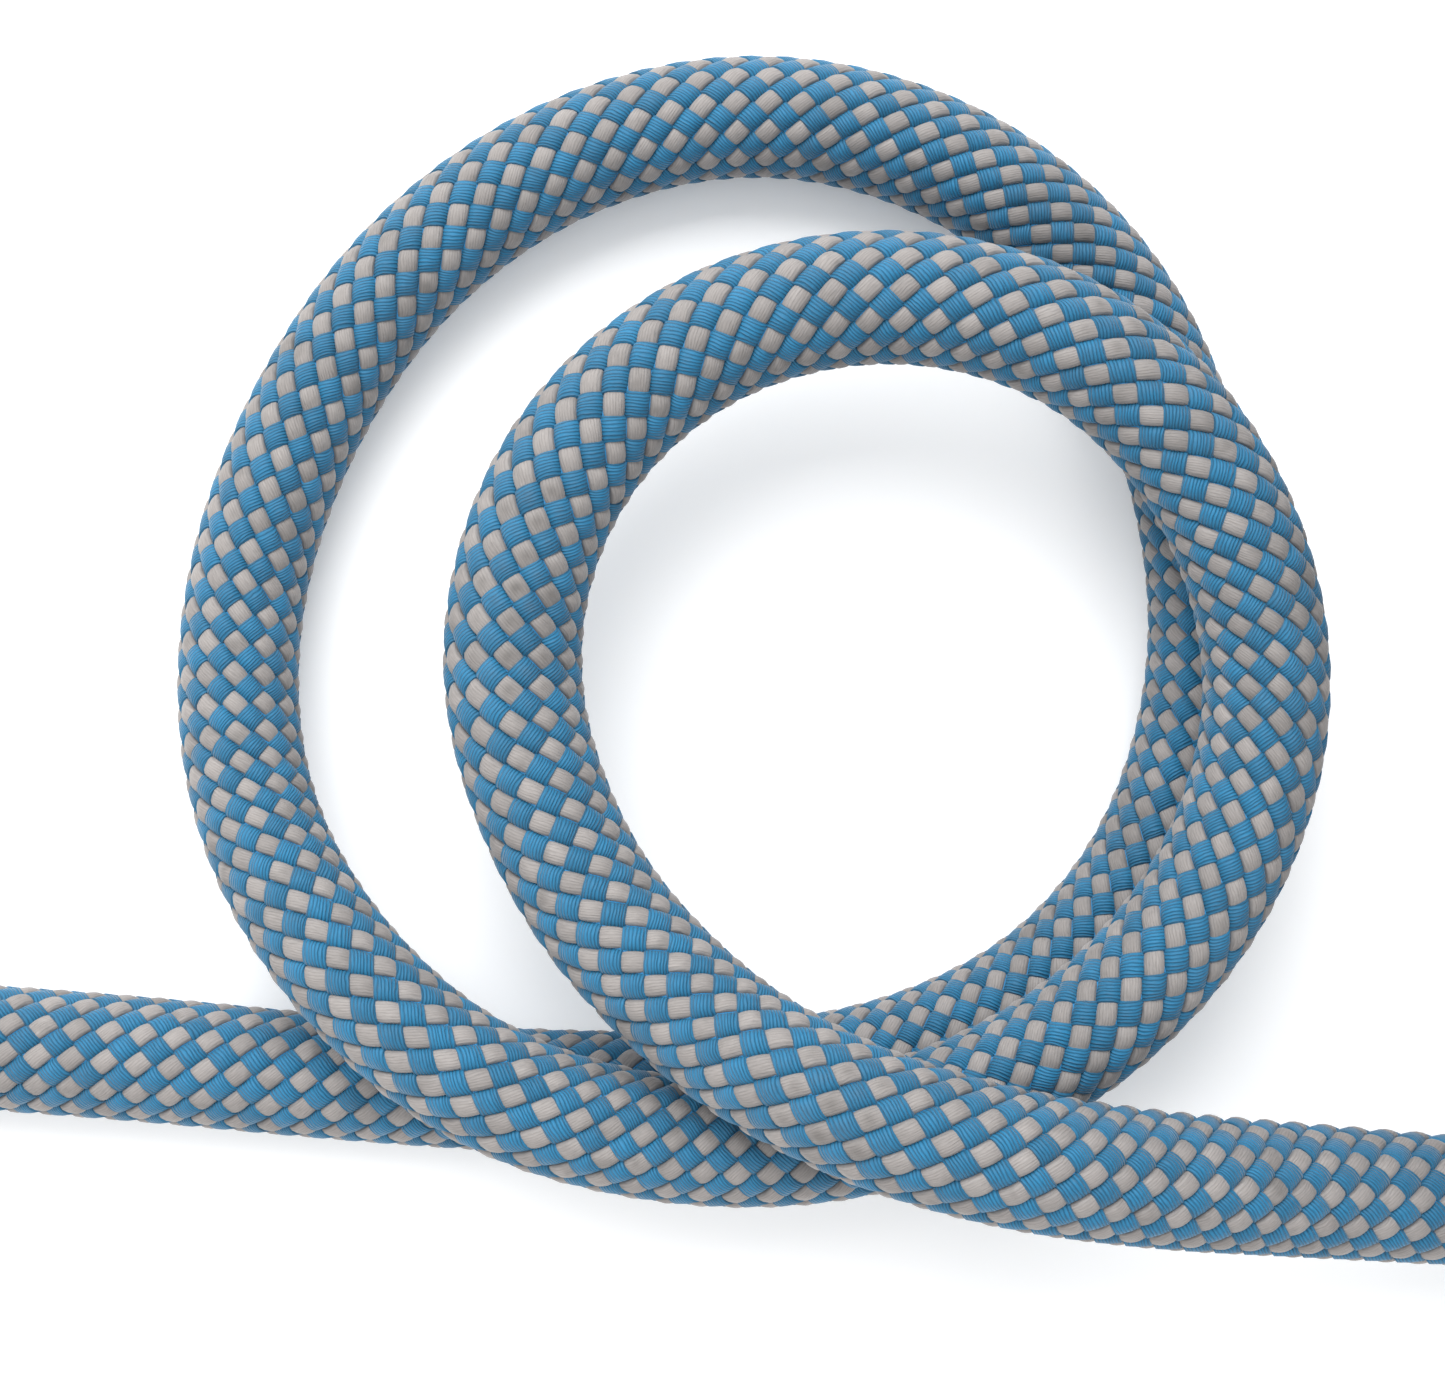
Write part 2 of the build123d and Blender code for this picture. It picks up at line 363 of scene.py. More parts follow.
# The yarns: each goes over one yarn of the other direction and under the next. The white ones are thick and stay
# nearly level, as ridges. The blue ones are thin, lie over those ridges edge to edge, and dive between them.
class Yarn:
    def __init__(self, hand, first, wave, wave_power, thick, squareness, sides, sections, width, flare):
        self.hand = hand  # 1 or -1, the way it goes round the rope
        self.first = first  # 1 if it lies on top at even crossings, -1 at odd ones
        self.wave, self.wave_power = wave, wave_power  # how far it rises and dips, and how abruptly
        self.thick, self.squareness = thick, squareness  # its section, from round at 2 to a flat ribbon
        self.sides, self.sections = sides, sections  # round it, and per crossing
        self.width, self.flare = width, flare  # in crossings, in the middle of a block and added at its ends

    def section(self):
        """Points round the flat section: how far across it and how far out, each from -1 to 1."""
        turn = np.arange(self.sides) / self.sides * tau
        power = 2 / self.squareness
        across = np.sign(np.cos(turn)) * np.abs(np.cos(turn)) ** power
        out = np.sign(np.sin(turn)) * np.abs(np.sin(turn)) ** power
        return across, out

    def mesh(self, rope, start, end, number):
        """Points, faces and UVs of one yarn. U counts crossings along it, and V goes across it from -1 to 1."""
        sections = int((end - start) * self.sections) + 1
        at = np.linspace(start, end, sections)[:, None]
        across, out = self.section()
        level = self.first * np.cos(pi * at)  # 1 in the middle of a block on top, 0 where it dives
        width = self.width + self.flare * (1 - np.abs(level)) ** 2
        sideways = across[None, :] * width / 2
        angle = tau / CARRIERS * number + self.hand * pi / CARRIERS * (at - sideways)
        lift = np.sign(level) * np.abs(level) ** self.wave_power
        radius = YARN_MIDDLE + self.wave * lift + self.thick / 2 * out[None, :]
        points = rope.surface(at + sideways, angle, radius)
        faces = grid_faces(sections, self.sides, closed=True)
        if self.hand > 0:
            faces = faces[:, ::-1]
        u = np.repeat(at, self.sides, axis=1).ravel()[faces]
        v = np.repeat(across[None, :], sections, axis=0).ravel()[faces]
        return points.reshape(-1, 3), faces, np.stack([u + UV_APART * number, v], axis=-1)


YARN_MIDDLE = 0.00435  # radius of the line that yarns rise over and dip under
UV_APART = 1000  # so that no two yarns have the same tones
YARNS_PER_PIECE = 2
WHITE_YARN = Yarn(
    hand=-1, first=1, wave=0.0002, wave_power=0.9, thick=0.0009, squareness=2.3,
    sides=12, sections=6, width=0.91, flare=-0.03,
)
BLUE_YARN = Yarn(
    hand=1, first=-1, wave=0.00043, wave_power=0.6, thick=0.0004, squareness=6.0,
    sides=8, sections=8, width=1.08, flare=0.10,
)


def add_yarns(rope, name, yarn, start, end, material):
    """The yarns of one direction, in pieces of a few yarns each."""
    pieces = []
    for first in range(0, CARRIERS, YARNS_PER_PIECE):
        points, faces, uvs, count = [], [], [], 0
        for number in range(first, first + YARNS_PER_PIECE):
            more = yarn.mesh(rope, start, end, number)
            points.append(more[0])
            faces.append(more[1] + count)
            uvs.append(more[2])
            count += len(more[0])
        label = f"{name}_{first + 1:02d}_{first + YARNS_PER_PIECE:02d}"
        piece = mesh_piece(label, np.concatenate(points), np.concatenate(faces), [material], np.concatenate(uvs))
        pieces.append(piece)
    return pieces


# The put-away length: the same braid as one closed skin of blocks, by the radius of their edges and of their middles
BLOCK_EDGE, BLOCK_TOP = 0.00466, 0.00502

# The corners of a block's four faces, and where each corner lies along and across a blue yarn
BLOCK_FACES = ["middle left before", "middle after left", "middle right after", "middle before right"]
CORNER_UVS = {"middle": (0, 0), "after": (0.5, 1), "before": (-0.5, -1), "left": (0.5, -1), "right": (-0.5, 1)}


def add_coil_skin(rope, name, first_row, last_row, materials):
    """Diamond blocks from one row to another. Rows are a crossing apart and take turns between white and blue."""
    rows = np.arange(first_row, last_row + 1)
    round_it = 2 * CARRIERS
    row, place = np.meshgrid(rows, np.arange(round_it), indexing="ij")
    is_middle = (row + place) % 2 == 0
    radius = np.where(is_middle, BLOCK_TOP, BLOCK_EDGE)
    points = rope.surface(row.astype(float), place * (pi / CARRIERS), radius)
    number = np.arange(row.size).reshape(row.shape)
    is_middle[[0, -1]] = False  # the first and last rows have no neighbour on one side
    r, p = np.nonzero(is_middle)
    corner = {
        "middle": number[r, p],
        "after": number[r + 1, p],
        "before": number[r - 1, p],
        "left": number[r, (p + 1) % round_it],
        "right": number[r, (p - 1) % round_it],
    }
    faces = [np.stack([corner[key] for key in face.split()], axis=1) for face in BLOCK_FACES]
    white = rows[r] % 2 == 0
    uvs = np.empty((len(r), 3 * len(BLOCK_FACES), 2))
    for i, key in enumerate(" ".join(BLOCK_FACES).split()):
        flip = np.where(white & (key in ("left", "right")), -1, 1)  # white yarns cross the rope the other way
        uvs[:, i, 0] = flip * CORNER_UVS[key][0] + rows[r]
        uvs[:, i, 1] = flip * CORNER_UVS[key][1]
    tones = len(TONE_SHARES)
    tone = random.integers(0, tones, len(r))
    slots = np.repeat(np.where(white, 0, tones) + tone, len(BLOCK_FACES))
    faces = np.stack(faces, axis=1).reshape(-1, 3)
    piece = mesh_piece(name, points, faces, materials, uvs.reshape(-1, 3, 2), slots)
    return piece


LINING_RADIUS = 0.0045
LINING_SIDES = 16
LINING_STEP = 0.0034  # along the rope, from ring to ring


def add_lining(rope, material):
    """What shows between the yarns, along the whole rope: the declared cord."""
    rings = int(rope.along[-1] / LINING_STEP)
    length = np.linspace(0, rope.along[-1], rings)
    at = rope.at_length(length)[:, None]
    angle = np.arange(LINING_SIDES)[None, :] / LINING_SIDES * tau
    points = rope.surface(at, angle, LINING_RADIUS)
    faces = grid_faces(rings, LINING_SIDES, closed=True)[:, ::-1]
    middle = np.stack([np.interp(length, rope.along, rope.points[:, k]) for k in range(3)], axis=-1)
    return mesh_piece("rope_lining", points, faces, [material]), middle


# ---------------------------------------------------------------- materials


def new_material(name, color, roughness):
    material = bpy.data.materials.new(name)
    material.use_nodes = True
    tree = material.node_tree
    shader = tree.nodes["Principled BSDF"]
    shader.inputs["Base Color"].default_value = (*color, 1)
    shader.inputs["Roughness"].default_value = roughness
    return material, tree, shader


def add_node(tree, kind, *values, **settings):
    """A node with its settings, whose inputs, in order, are sockets to link or plain values."""
    node = tree.nodes.new(kind)
    for setting, value in settings.items():
        setattr(node, setting, value)
    for socket, value in zip(node.inputs, values):
        if isinstance(value, bpy.types.NodeSocket):
            tree.links.new(value, socket)
        elif value is not None:
            socket.default_value = value
    return node


def compute(tree, operation, *values):
    return add_node(tree, "ShaderNodeMath", *values, operation=operation).outputs[0]


def times(tree, one, other):
    return compute(tree, "MULTIPLY", one, other)


def noise(tree, where, scale, detail=2.0, roughness=0.5):
    """Noise from 0 to 1."""
    node = add_node(tree, "ShaderNodeTexNoise", where)
    node.inputs["Scale"].default_value = scale
    node.inputs["Detail"].default_value = detail
    node.inputs["Roughness"].default_value = roughness
    return node.outputs["Fac"]


def remap(tree, value, low, high, from_low=0.0, from_high=1.0):
    """A value carried from one range to another, and kept inside it."""
    return add_node(tree, "ShaderNodeMapRange", value, from_low, from_high, low, high).outputs[0]


def scaled_color(tree, color, share):
    """A colour, plain or a socket, times a number."""
    node = tree.nodes.new("ShaderNodeVectorMath")
    node.operation = "SCALE"
    if isinstance(color, bpy.types.NodeSocket):
        tree.links.new(color, node.inputs[0])
    else:
        node.inputs[0].default_value = color
    tree.links.new(share, node.inputs["Scale"])
    return node.outputs[0]


def mixed_color(tree, share, one, other):
    node = tree.nodes.new("ShaderNodeMix")
    node.data_type = "RGBA"
    node.clamp_factor = True
    tree.links.new(share, node.inputs[0])
    for place, color in ((6, one), (7, other)):
        if isinstance(color, bpy.types.NodeSocket):
            tree.links.new(color, node.inputs[place])
        else:
            node.inputs[place].default_value = (*color, 1)
    return node.outputs[2]


def add_bump(tree, shader, height, distance):
    bump = tree.nodes.new("ShaderNodeBump")
    bump.inputs["Strength"].default_value = 1.0
    bump.inputs["Distance"].default_value = distance
    tree.links.new(height, bump.inputs["Height"])
    tree.links.new(bump.outputs["Normal"], shader.inputs["Normal"])


def yarn_texture(tree, plies):
    """Along and across a yarn from its UVs, its plies from 0 in the grooves to 1, and its fibres from 0 to 1."""
    uv = add_node(tree, "ShaderNodeUVMap", uv_map="Yarn").outputs[0]
    parts = add_node(tree, "ShaderNodeSeparateXYZ", uv)
    along, across = parts.outputs[0], parts.outputs[1]
    slow = add_node(tree, "ShaderNodeCombineXYZ", times(tree, along, 0.9), across, 0.0).outputs[0]
    drift = remap(tree, noise(tree, slow, 0.8, 3.0, 0.5), -0.6, 0.6, 0.2, 0.8)
    place = compute(tree, "ADD", times(tree, across, plies / 2), drift)
    ply = compute(tree, "ABSOLUTE", compute(tree, "COSINE", times(tree, place, pi)))
    ply = compute(tree, "POWER", ply, 0.6)
    moved = compute(tree, "ADD", across, times(tree, drift, 0.3))  # fibres follow their plies
    fine = add_node(tree, "ShaderNodeCombineXYZ", times(tree, along, 2.2), times(tree, moved, 11.0), 0.0)
    return along, across, ply, noise(tree, fine.outputs[0], 1.0, 3.0, 0.65)


def yarn_material(name, color, first, plies, ply_depth, soil):
    """A yarn of the loops: plies and fibres, a tone for each block, painted shade in the grooves between plies and at
    its edges, and the dirt of use. `first` is added to a yarn's crossings, so that a block's number changes where its
    yarn is out of sight."""
    material, tree, shader = new_material(name, color, 0.62)
    along, across, ply, fibre = yarn_texture(tree, plies)
    counted = times(tree, compute(tree, "ADD", along, first), 0.5)
    block = compute(tree, "FLOOR", counted)
    aside = compute(tree, "ABSOLUTE", across)

    # The yarn's own colour by block and by fibre, with painted shade darkening the grooves between plies and the
    # yarn's edges, where it meets its neighbours
    tone = add_node(tree, "ShaderNodeTexWhiteNoise", noise_dimensions="1D")
    tree.links.new(block, tone.inputs["W"])
    share = remap(tree, tone.outputs["Value"], 0.88, 1.12)
    share = times(tree, share, remap(tree, fibre, 0.78, 1.2, 0.25, 0.75))
    # painted shade: darker in the grooves between plies
    share = times(tree, share, remap(tree, ply, 1 - 0.45 * ply_depth, 1.03))
    # painted shade: darker towards the yarn's edges, where it meets the next yarns
    share = times(tree, share, remap(tree, compute(tree, "POWER", aside, 4.0), 1.0, 0.88))
    fresh_with_painted_shade = scaled_color(tree, color, share)

    # Dirt: broad patches, small specks, and smudges in the middles of blocks
    where = add_node(tree, "ShaderNodeTexCoord").outputs["Object"]
    dirt = remap(tree, noise(tree, where, 60.0, 4.0, 0.62), 0.0, 0.38 * soil, 0.53, 0.74)
    smudge = remap(tree, noise(tree, where, 420.0, 2.0), 0.0, 0.3 * soil, 0.58, 0.75)
    past = compute(tree, "SUBTRACT", counted, block)
    from_middle = compute(tree, "ABSOLUTE", compute(tree, "SUBTRACT", past, 0.5))
    lengthways = remap(tree, from_middle, 1.0, 0.0, 0.03, 0.24)
    middle = times(tree, lengthways, remap(tree, aside, 1.0, 0.0, 0.2, 0.95))
    for (x, y, z), radius, strength in SMUDGES:
        away = add_node(tree, "ShaderNodeVectorMath", where, (LOOPS_X + x, LOOPS_Y + y, z), operation="DISTANCE")
        near = remap(tree, away.outputs["Value"], strength * soil, 0.0, 0.4 * radius, radius)
        smudge = compute(tree, "MAXIMUM", smudge, times(tree, near, middle))
    worn = mixed_color(tree, dirt, fresh_with_painted_shade, SOIL)
    worn = mixed_color(tree, smudge, worn, SOIL)
    tree.links.new(worn, shader.inputs["Base Color"])

    shader.inputs["Sheen Weight"].default_value = 0.2
    shader.inputs["Sheen Roughness"].default_value = 0.4
    tree.links.new(remap(tree, fibre, 0.5, 0.78), shader.inputs["Roughness"])
    height = compute(tree, "ADD", times(tree, ply, ply_depth), times(tree, fibre, 0.55))
    add_bump(tree, shader, height, 0.00007)
    return material


def block_material(name, color, share):
    """The coil's blocks: one tone each, with plies and fibres that stand up from them."""
    material, tree, shader = new_material(name, tuple(share * c for c in color), 0.65)
    _, _, ply, fibre = yarn_texture(tree, plies=4)
    shader.inputs["Sheen Weight"].default_value = 0.12
    tree.links.new(remap(tree, fibre, 0.5, 0.8), shader.inputs["Roughness"])
    add_bump(tree, shader, compute(tree, "ADD", times(tree, ply, 0.5), times(tree, fibre, 0.5)), 0.0001)
    return material


def fibre_material(name, color, scale, roughness=0.7, distance=0.00008):
    """A plain fibrous or moulded surface with a fine grain."""
    material, tree, shader = new_material(name, color, roughness)
    where = add_node(tree, "ShaderNodeTexCoord").outputs["Object"]
    grain = noise(tree, where, scale, 3.0, 0.6)
    tree.links.new(remap(tree, grain, roughness - 0.12, roughness + 0.12), shader.inputs["Roughness"])
    add_bump(tree, shader, grain, distance)
    return material


def lining_material():
    material = fibre_material("lining", LINING, scale=4000)
    shader = material.node_tree.nodes["Principled BSDF"]
    # painted light: the lining glows blue, so the gaps between the yarns show lit blue where they would be in shade
    shader.inputs["Emission Color"].default_value = (*LINING_PAINTED_GLOW, 1)
    shader.inputs["Emission Strength"].default_value = 0.35
    return material


def seal_material():
    """Melted sheath and core: blue and off-white that have run into each other."""
    material, tree, shader = new_material("seal", BLUE, 0.35)
    where = add_node(tree, "ShaderNodeTexCoord").outputs["Object"]
    run = noise(tree, where, 320.0, 3.0, 0.55)
    share = remap(tree, run, 0.0, 1.0, 0.42, 0.6)
    tree.links.new(mixed_color(tree, share, MELTED_BLUE, MELTED_WHITE), shader.inputs["Base Color"])
    shader.inputs["Coat Weight"].default_value = 0.3
    shader.inputs["Coat Roughness"].default_value = 0.25
    tree.links.new(remap(tree, run, 0.25, 0.5), shader.inputs["Roughness"])
    add_bump(tree, shader, noise(tree, where, 900.0, 3.0), 0.00015)
    return material


# ---------------------------------------------------------------- what finishes the ends

SLEEVE_LENGTH, SLEEVE_RADIUS = 0.0140, 0.00517
SLEEVE_RINGS, SLEEVE_SIDES = 85, 96
RIM_LENGTH, RIM_DEPTH = 0.0009, 0.0004  # over which a sleeve's rim draws in, and how far
BLOCKS_SHOW = 0.00005  # how far the braid's blocks stand out under a sleeve
SEAL_LENGTH = 0.0030
SEAL_RINGS, SEAL_SIDES = 26, 72
SEAL_OVERLAP = 0.0004  # how far a seal starts inside the rope


def add_sleeve(rope, name, start, material):
    """The shrink sleeve over the last of the rope: it draws in at its rims and shows the braid's blocks under it."""
    length = np.linspace(0, SLEEVE_LENGTH, SLEEVE_RINGS)
    from_rim = np.minimum(length, SLEEVE_LENGTH - length) / RIM_LENGTH
    drawn_in = RIM_DEPTH * np.clip(1 - from_rim, 0, 1) ** 2
    at = rope.at_length(start + length)[:, None]
    angle = np.arange(SLEEVE_SIDES)[None, :] / SLEEVE_SIDES * tau
    around = angle / tau * 2 * CARRIERS
    blocks = np.cos(pi * at) * np.cos(pi * around)
    radius = SLEEVE_RADIUS - drawn_in[:, None] + BLOCKS_SHOW * blocks
    faces = grid_faces(SLEEVE_RINGS, SLEEVE_SIDES, closed=True)[:, ::-1]
    sleeve = mesh_piece(name, rope.surface(at, angle, radius), faces, [material])
    return sleeve


def add_seal(rope, name, end, material):
    """The melted end: a lumpy dome, sunk in the middle, where sheath and core have run together."""
    place = 0 if end == "near" else -1
    outward = rope.tangents[place] * (-1 if end == "near" else 1)
    up = rope.sides[place]
    side = np.cross(outward, up)
    turn = np.linspace(0, 1, SEAL_RINGS)[:, None]  # 0 where it meets the rope, 1 in its middle
    angle = np.arange(SEAL_SIDES)[None, :] / SEAL_SIDES * tau
    lumps = 0.035 * np.sin(3 * angle + 1.0) + 0.02 * np.sin(7 * angle + 4 * turn)
    lumps = lumps + 0.012 * np.sin(13 * angle - 6 * turn)
    closed = np.clip((turn - 0.25) / 0.75, 0, 1)
    radius = ROPE_RADIUS * np.sqrt(np.clip(1 - closed**3, 0, 1))
    radius = radius * (1 + lumps * np.clip(radius / 0.004, 0, 1) * np.clip(turn * 6, 0, 1))
    risen = 1 - (1 - np.clip(turn / 0.9, 0, 1)) ** 1.6
    sunk = 1 - 0.22 * np.clip((turn - 0.75) / 0.25, 0, 1) ** 2
    out = SEAL_LENGTH * risen * sunk * (1 + 0.8 * lumps) - SEAL_OVERLAP
    points = rope.points[place] + outward * out[..., None]
    points = points + radius[..., None] * (np.cos(angle)[..., None] * up + np.sin(angle)[..., None] * side)
    seal = mesh_piece(name, points, grid_faces(SEAL_RINGS, SEAL_SIDES, closed=True), [material])
    return seal


# ---------------------------------------------------------------- the coil's ties

TIE_ANGLES = (90.0, 210.0, 330.0)
STRAP_WIDTH, STRAP_THICK, STRAP_ROUND = 0.0200, 0.0015, 0.0054
STRAP_GAP = 0.0001  # between a strap and its own start under it
BEND_STEPS = 8
OVERLAP_START, OVERLAP_END = 0.0300, 0.0740  # heights on the outer wall
BEND_FROM = 0.06  # from the coil's axis: further out a tie follows the coil's curve
RIBS, PER_RIB = 16, 4
TRACER_RIBS = (3, RIBS - 4)
WEFT = 0.0013  # from one weft yarn to the next
RIB_DEPTH, WEFT_DEPTH, SAG = 0.00010, 0.00005, 0.00012  # the last between the coil's turns
STITCH_PITCH, STITCH_RADIUS = 0.0030, 0.00032
STITCH_STEPS, STITCH_SIDES = 7, 8
STITCH_RISE = 0.00022


def strap_line(inner, outer, low, high):
    """Distances from the coil's axis and heights down the middle of a strap: up the outer wall, over the top, down
    the inner wall, back underneath, and up the outer wall again over its own start."""
    half = STRAP_THICK / 2
    inner, outer, low, high = inner + half, outer - half, low + half, high - half
    corners = [(outer, high, 1, 1), (inner, high, -1, 1), (inner, low, -1, -1), (outer, low, 1, -1)]
    points = [(outer, OVERLAP_START)]
    for corner, (r, z, outward, upward) in enumerate(corners):
        middle = (r - outward * STRAP_ROUND, z - upward * STRAP_ROUND)
        for step in range(BEND_STEPS + 1):
            turn = radians(90 * corner + step * 90 / BEND_STEPS)
            points.append((middle[0] + STRAP_ROUND * cos(turn), middle[1] + STRAP_ROUND * sin(turn)))
    over = outer + STRAP_THICK + STRAP_GAP
    points += [
        (outer, OVERLAP_START - 0.006),
        (outer + 0.0003, OVERLAP_START - 0.004),
        (over - 0.0002, OVERLAP_START - 0.001),
        (over, OVERLAP_START + 0.001),
        (over, OVERLAP_END),
    ]
    points = np.array(points)
    along = np.concatenate([[0], np.cumsum(np.linalg.norm(np.diff(points, axis=0), axis=1))])
    even = np.linspace(0, along[-1], int(along[-1] / (WEFT / 2)))
    return even, np.stack([np.interp(even, along, points[:, k]) for k in range(2)], axis=-1)


def strap_frame(line):
    """The outward direction at each point of a strap's line."""
    tangent = np.gradient(line, axis=0)
    tangent /= np.linalg.norm(tangent, axis=1)[:, None]
    return np.stack([tangent[:, 1], -tangent[:, 0]], axis=-1)


def on_tie(angle, radial, across, height, outer):
    """A point of a tie. The outer wall follows the coil's curve across the strap, and the inner wall is flat."""
    bend = np.clip((radial - BEND_FROM) / (outer - BEND_FROM), 0, 1)
    radial = radial - bend * across**2 / (2 * outer)
    x = COIL_X + radial * cos(radians(angle)) - across * sin(radians(angle))
    y = COIL_Y + radial * sin(radians(angle)) + across * cos(radians(angle))
    return np.stack(np.broadcast_arrays(x, y, height), axis=-1)


def add_strap(number, angle, walls, materials):
    """A tie of ribbed webbing: ribs along it, crossed by the weft, with thinner edges."""
    outer = walls[1]
    along, line = strap_line(*walls)
    outward = strap_frame(line)
    side = np.linspace(-1, 1, RIBS * PER_RIB + 1)
    rib = np.abs(np.cos(pi * side * RIBS / 2))
    lean = pi * along[:, None] / WEFT + pi * np.floor((side + 1) * RIBS / 2)[None, :]
    half = STRAP_THICK / 2 * (1 - 0.75 * np.abs(side) ** 10)
    relief = RIB_DEPTH * (1 - rib)[None, :] + WEFT_DEPTH * np.sin(lean)
    wall = outward[:, 0] ** 2 * np.cos(tau * (line[:, 1] - ROUTE[-1][2]) / LAYER_PITCH)
    top = np.clip(outward[:, 1], 0, 1) ** 2 * np.cos(tau * (line[:, 0] - OUTER_LANE) / TURN_PITCH)
    sag = SAG * (wall + top)[:, None]
    rise = {1: half[None, :] + relief, -1: half[None, :] + 0.6 * relief[:, ::-1]}
    rows = []
    for face in (1, -1):
        out = face * (rise[face] - RIB_DEPTH) + sag
        radial, height = line[:, :1] + outward[:, :1] * out, line[:, 1:] + outward[:, 1:] * out
        rows.append(on_tie(angle, radial, side[None, ::face] * STRAP_WIDTH / 2, height, outer))
    points = np.concatenate(rows, axis=1)
    wide = points.shape[1]
    half_wide = wide // 2
    faces = grid_faces(len(along), wide, closed=True)
    first = np.arange(half_wide - 1)
    cap = np.stack([first, first + 1, wide - 2 - first, wide - 1 - first], axis=-1)
    end = cap[:, ::-1] + (len(along) - 1) * wide
    row, column = np.divmod(np.arange(len(faces)), wide)
    across = np.where(column < half_wide, column, wide - 1 - column) / (half_wide - 1)
    rib_number = np.floor(across * RIBS).astype(int)
    weft = np.floor(along[row] / WEFT + 0.5 * rib_number).astype(int)
    slots = np.where(np.isin(rib_number, TRACER_RIBS), 2, (weft + rib_number) % 2)
    slots = np.concatenate([slots, np.zeros(2 * len(cap), int)])
    strap = mesh_piece(f"tie_strap_{number}", points, np.concatenate([faces, cap, end]), materials, None, slots)
    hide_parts(f"coil_tie_{number}")
    return strap


def stitch_places():
    """Ends of each stitch of the sewn box and its cross: across the strap and up it."""
    wide, low, high = 0.0072, OVERLAP_START + 0.004, OVERLAP_END - 0.004
    corners = [(-wide, low), (wide, low), (wide, high), (-wide, high)]
    runs = list(zip(corners, corners[1:] + corners[:1])) + [(corners[0], corners[2]), (corners[1], corners[3])]
    for start, end in runs:
        start, end = np.array(start), np.array(end)
        count = int(np.linalg.norm(end - start) / STITCH_PITCH)
        for i in range(count):
            yield start + (end - start) * (i + 0.14) / count, start + (end - start) * (i + 0.86) / count


def add_stitches(number, angle, outer, material):
    """The thread that sews a tie's overlap: one raised capsule for each stitch, sunk at its ends."""
    radial = outer + STRAP_THICK + STRAP_GAP
    share = np.linspace(0, 1, STITCH_STEPS)
    arch = STITCH_RISE * (1 - (2 * share - 1) ** 2)
    size = STITCH_RADIUS * np.sqrt(np.clip(1 - (2 * share - 1) ** 4, 0.02, 1))
    turn = np.arange(STITCH_SIDES) / STITCH_SIDES * tau
    rise = radial + arch[:, None] + size[:, None] * np.sin(turn)[None, :]
    points, faces, count = [], [], 0
    for start, end in stitch_places():
        middle = start + (end - start) * share[:, None]
        direction = (end - start) / np.linalg.norm(end - start)
        square = np.array([-direction[1], direction[0]])
        across = middle[:, :1] + square[0] * size[:, None] * np.cos(turn)[None, :]
        up = middle[:, 1:] + square[1] * size[:, None] * np.cos(turn)[None, :]
        points.append(on_tie(angle, rise, across, up, outer).reshape(-1, 3))
        faces.append(grid_faces(STITCH_STEPS, STITCH_SIDES, closed=True) + count)
        count += STITCH_STEPS * STITCH_SIDES
    stitches = mesh_piece(f"tie_stitches_{number}", np.concatenate(points), np.concatenate(faces), [material])
    return stitches


def add_ties():
    low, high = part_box("coil_tie_1")  # the tie at the back, whose radial direction is Y
    walls = (low[1] - COIL_Y, high[1] - COIL_Y, low[2], high[2])
    webbing = [fibre_material(f"webbing_{i + 1}", color, 5000) for i, color in enumerate(WEBBING)]
    thread = fibre_material("tie_thread", THREAD_GREY, 7000, 0.5, 0.00004)
    for number, angle in enumerate(TIE_ANGLES, 1):
        add_strap(number, angle, walls, webbing)
        add_stitches(number, angle, walls[1], thread)


# ---------------------------------------------------------------- stage


def add_lamp(name, place, size, energy):
    """A soft square lamp turned to the loops."""
    data = bpy.data.lights.new(name, "AREA")
    data.energy, data.size = energy, size
    lamp = bpy.data.objects.new(name, data)
    lamp.location = place
    lamp.rotation_euler = (Vector((LOOPS_X, LOOPS_Y, 0)) - lamp.location).to_track_quat("-Z", "Y").to_euler()
    bpy.context.scene.collection.objects.link(lamp)


def add_stage():
    """A pale floor, an even white room and a soft lamp behind the loops."""
    bpy.ops.mesh.primitive_plane_add(size=6)
    floor = bpy.context.object
    material, _, shader = new_material("floor", (0.97, 0.97, 0.97), 0.9)
    shader.inputs["Emission Color"].default_value = (1, 1, 1, 1)
    shader.inputs["Emission Strength"].default_value = 0.15
    floor.data.materials.append(material)
    world = bpy.data.worlds.new("studio")
    world.use_nodes = True
    background = world.node_tree.nodes["Background"]
    background.inputs["Color"].default_value = (1, 1, 1, 1)
    background.inputs["Strength"].default_value = 1.05
    bpy.context.scene.world = world
    bpy.context.scene.view_settings.view_transform = "Standard"
    add_lamp("key", (-0.2, 0.7, 0.85), 0.9, 14.0)


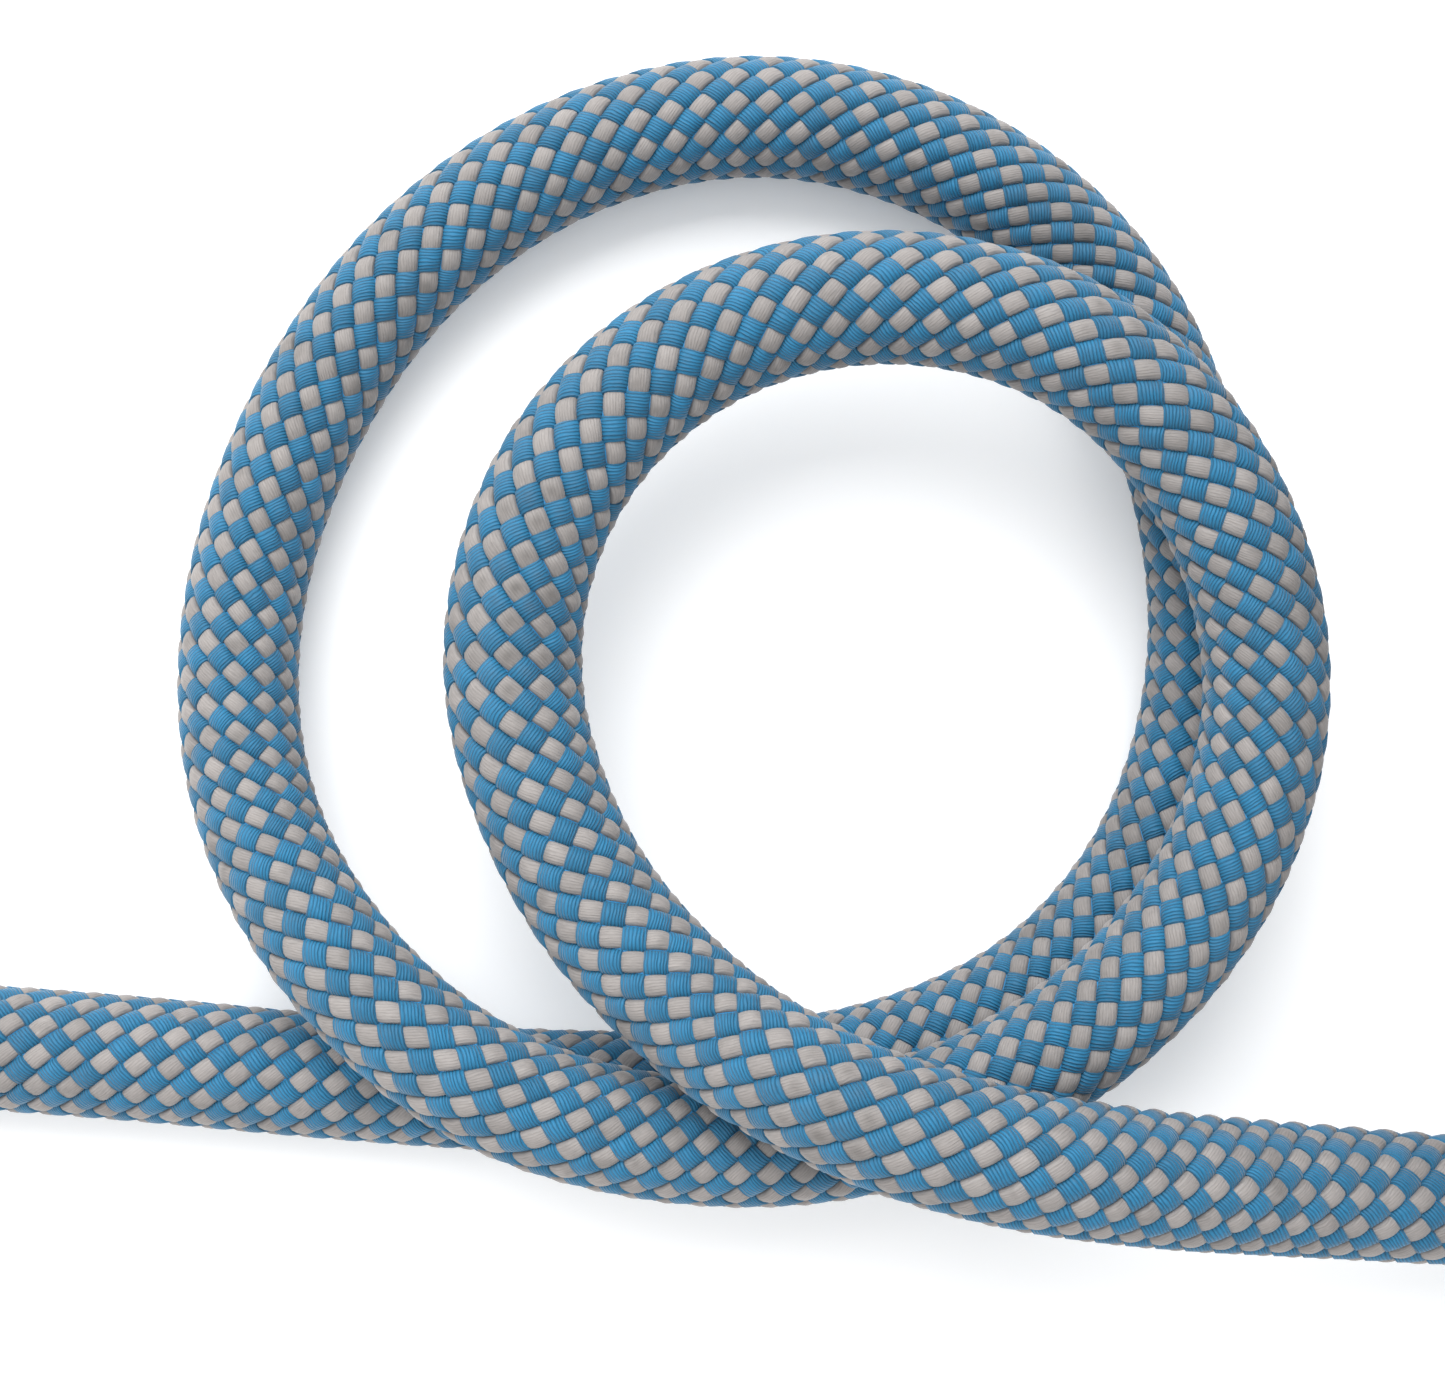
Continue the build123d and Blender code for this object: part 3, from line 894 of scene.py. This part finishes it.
def add_rope():
    """The whole rope: its yarns, the coil's skin, its lining and its ends. The lining is the declared cord."""
    rope = RopeLine(rope_line())
    white = yarn_material("white_yarn", WHITE, first=1.0, plies=8, ply_depth=0.3, soil=1.0)
    blue = yarn_material("blue_yarn", BLUE, first=0.0, plies=8, ply_depth=1.0, soil=0.45)
    coil_materials = [
        block_material(f"coil_{name}_{i}", color, share)
        for name, color in (("white", WHITE), ("blue", BLUE))
        for i, share in enumerate(TONE_SHARES)
    ]
    lining_look = lining_material()
    start, end = rope.crossings[0], float(int(rope.at_length(YARNS_END)))
    white_pieces = add_yarns(rope, "white_yarns", WHITE_YARN, start, end, white)
    blue_pieces = add_yarns(rope, "blue_yarns", BLUE_YARN, start, end, blue)
    stops = np.linspace(end - 2, int(rope.crossings[-1]), 5).astype(int)
    coil_pieces = [
        add_coil_skin(rope, f"coil_sheath_{i + 1}", a - 1, b + 1, coil_materials)
        for i, (a, b) in enumerate(zip(stops, stops[1:]))
    ]
    lining, middle = add_lining(rope, lining_look)
    band = fibre_material("band", SLEEVE_BLACK, 2500, 0.42, 0.00003)
    near_band = add_sleeve(rope, "near_sleeve", 0.0, band)
    far_band = add_sleeve(rope, "far_sleeve", rope.along[-1] - SLEEVE_LENGTH, band)
    melted = seal_material()
    near_seal = add_seal(rope, "near_melted_end", "near", melted)
    far_seal = add_seal(rope, "far_melted_end", "far", melted)
    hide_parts("near_end_band")
    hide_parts("far_end_band")
    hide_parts("near_end_seal")
    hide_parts("far_end_seal")
    for piece in white_pieces + blue_pieces:
        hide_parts("sheath")
    for piece in coil_pieces:
        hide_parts("rope_coil")


def finish_core():
    """The looks of what the sheath hides: the core's strands and the tape that runs among them."""
    core = fibre_material("core", CORE_WHITE, 1800, 0.6, 0.0002)
    tape = fibre_material("tape", TAPE_YELLOW, 3000, 0.4, 0.00003)
    for node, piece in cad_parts.items():
        if node.startswith("core_strand") or node == "id_tape":
            piece.data.materials.clear()
            piece.data.materials.append(tape if node == "id_tape" else core)


add_camera()
add_rope()
add_ties()
finish_core()
add_stage()
